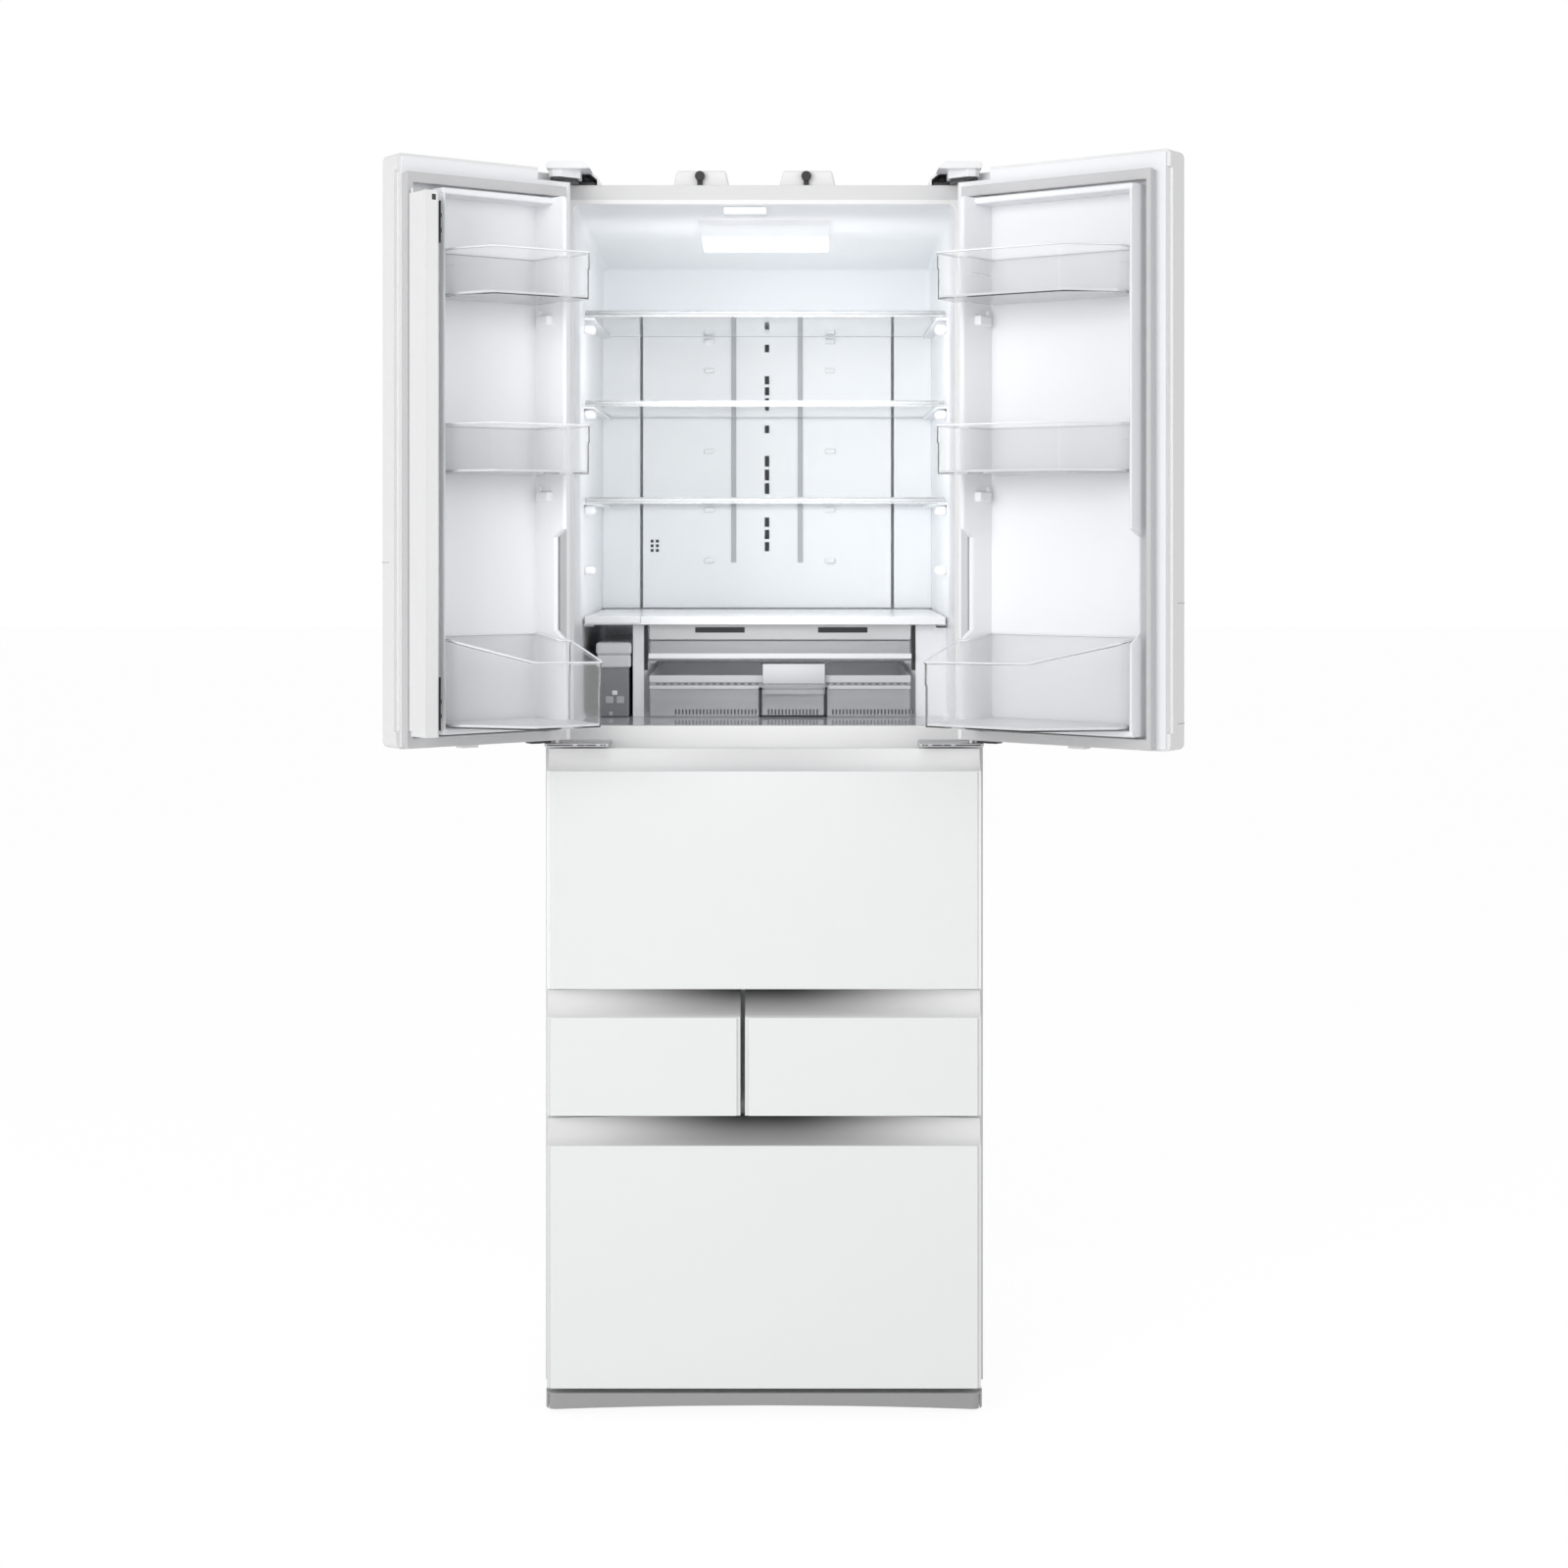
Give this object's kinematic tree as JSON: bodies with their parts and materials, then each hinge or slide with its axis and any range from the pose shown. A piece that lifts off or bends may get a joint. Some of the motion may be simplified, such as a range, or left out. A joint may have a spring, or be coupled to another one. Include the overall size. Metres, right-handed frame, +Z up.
{
  "type": "french door refrigerator",
  "caption": "Tall white refrigerator with hinged double doors, a folding mullion flap, glass shelves, chilled cases and pull-out glass-fronted drawers.",
  "frame": {"origin": "on the floor, mid-width and mid-depth of the closed refrigerator", "axes": "+X to the right seen from the front, +Y to the back, +Z up; the doors face -Y"},
  "size_m": [1.1266, 0.9248, 1.833],
  "materials": {
    "white_glass": "polished",
    "white_paint": "gloss",
    "grey_paint": "satin",
    "white_plastic": "satin",
    "pale_plastic": "satin",
    "clear_plastic": "polished",
    "grey_plastic": "satin",
    "dark_plastic": "satin",
    "smoke_plastic": "gloss",
    "white_rubber": "matte",
    "foam": "matte",
    "steel": "satin",
    "black_metal": "satin",
    "fin_metal": "satin",
    "board": "satin",
    "lamp": "satin",
    "shelf_glass": "polished"
  },
  "bodies": {
    "cabinet": {"outer_shell": "white_paint", "back_plate": "grey_paint", "base_frame": "steel", "insulation_foam": "foam", "fridge_liner": "white_plastic", "lower_liner": "white_plastic", "partitions": "white_plastic", "back_duct_cover": "white_plastic", "lamp_lens": "lamp", "hinge_brackets": "steel", "hinge_covers": "pale_plastic", "anti_tip_anchors": "pale_plastic", "anchor_studs": "dark_plastic", "kick_plate": "pale_plastic", "compressor": "black_metal", "condenser": "fin_metal", "evaporator": "fin_metal", "freezer_duct_cover": "white_plastic", "control_board": "board", "flap_guide": "white_plastic", "chilled_case_cover": "white_plastic", "case_side_walls": "white_plastic", "cabinet_rails": "steel", "shelves": "shelf_glass"},
    "left_door": {"left_door_glass": "white_glass", "left_door_frame": "pale_plastic", "left_door_liner": "white_plastic", "left_door_gasket": "white_rubber", "left_door_pockets": "clear_plastic"},
    "right_door": {"right_door_glass": "white_glass", "right_door_frame": "pale_plastic", "right_door_liner": "white_plastic", "right_door_gasket": "white_rubber", "right_door_pockets": "clear_plastic"},
    "mullion_flap": {"mullion_flap": "pale_plastic"},
    "vegetable_drawer": {"vegetable_glass": "white_glass", "vegetable_frame": "pale_plastic", "vegetable_gasket": "white_rubber", "vegetable_bin": "clear_plastic", "vegetable_rails": "steel"},
    "ice_drawer": {"ice_drawer_glass": "white_glass", "ice_drawer_frame": "pale_plastic", "ice_drawer_gasket": "white_rubber", "ice_drawer_bin": "clear_plastic"},
    "upper_freezer_drawer": {"upper_freezer_glass": "white_glass", "upper_freezer_frame": "pale_plastic", "upper_freezer_gasket": "white_rubber", "upper_freezer_bin": "clear_plastic"},
    "lower_freezer_drawer": {"lower_freezer_glass": "white_glass", "lower_freezer_frame": "pale_plastic", "lower_freezer_gasket": "white_rubber", "lower_freezer_bin": "clear_plastic", "lower_freezer_rails": "steel"},
    "upper_case": {"upper_case": "clear_plastic"},
    "lower_case": {"lower_case": "smoke_plastic"},
    "water_tank": {"water_tank": "grey_plastic"},
    "freezer_fan": {"freezer_fan": "dark_plastic"},
    "left_foot": {"left_foot": "dark_plastic"},
    "right_foot": {"right_foot": "dark_plastic"},
    "rear_rollers": {"rear_rollers": "dark_plastic"}
  },
  "joints": [
    {"name": "left_door_hinge", "type": "hinge", "parent": "cabinet", "child": "left_door", "pos_m": [-0.305, -0.3235, 1.4], "axis": [0, 0, -1], "range_deg": [-144, 0]},
    {"name": "right_door_hinge", "type": "hinge", "parent": "cabinet", "child": "right_door", "pos_m": [0.305, -0.3235, 1.4], "axis": [0, 0, 1], "range_deg": [-144, 0]},
    {"name": "mullion_flap_fold", "type": "hinge", "parent": "left_door", "child": "mullion_flap", "pos_m": [-0.4878, -0.51083, 1.4], "axis": [0, 0, -1], "range_deg": [0, 90]},
    {"name": "vegetable_drawer_slide", "type": "slide", "parent": "cabinet", "child": "vegetable_drawer", "axis": [0, -1, 0], "range_m": [0, 0.38]},
    {"name": "ice_drawer_slide", "type": "slide", "parent": "cabinet", "child": "ice_drawer", "axis": [0, -1, 0], "range_m": [0, 0.33]},
    {"name": "upper_freezer_slide", "type": "slide", "parent": "cabinet", "child": "upper_freezer_drawer", "axis": [0, -1, 0], "range_m": [0, 0.33]},
    {"name": "lower_freezer_slide", "type": "slide", "parent": "cabinet", "child": "lower_freezer_drawer", "axis": [0, -1, 0], "range_m": [0, 0.29]},
    {"name": "upper_case_slide", "type": "slide", "parent": "cabinet", "child": "upper_case", "axis": [0, -1, 0], "range_m": [0, 0.26]},
    {"name": "lower_case_slide", "type": "slide", "parent": "cabinet", "child": "lower_case", "axis": [0, -1, 0], "range_m": [0, 0.26]},
    {"name": "water_tank_slide", "type": "slide", "parent": "cabinet", "child": "water_tank", "axis": [0, -1, 0], "range_m": [0, 0.25]},
    {"name": "freezer_fan_spin", "type": "hinge", "parent": "cabinet", "child": "freezer_fan", "pos_m": [0, 0.205, 0.535], "axis": [0, 1, 0], "continuous": true},
    {"name": "left_foot_turn", "type": "hinge", "parent": "cabinet", "child": "left_foot", "pos_m": [-0.3, -0.255, 0.01], "axis": [0, 0, 1], "continuous": true},
    {"name": "right_foot_turn", "type": "hinge", "parent": "cabinet", "child": "right_foot", "pos_m": [0.3, -0.255, 0.01], "axis": [0, 0, 1], "continuous": true},
    {"name": "rear_roller_spin", "type": "hinge", "parent": "cabinet", "child": "rear_rollers", "pos_m": [0, 0.3, 0.014], "axis": [1, 0, 0], "continuous": true}
  ],
  "couplings": [
    {"joint": "mullion_flap_fold", "follows": "left_door_hinge", "ratio": -0.625}
  ]
}
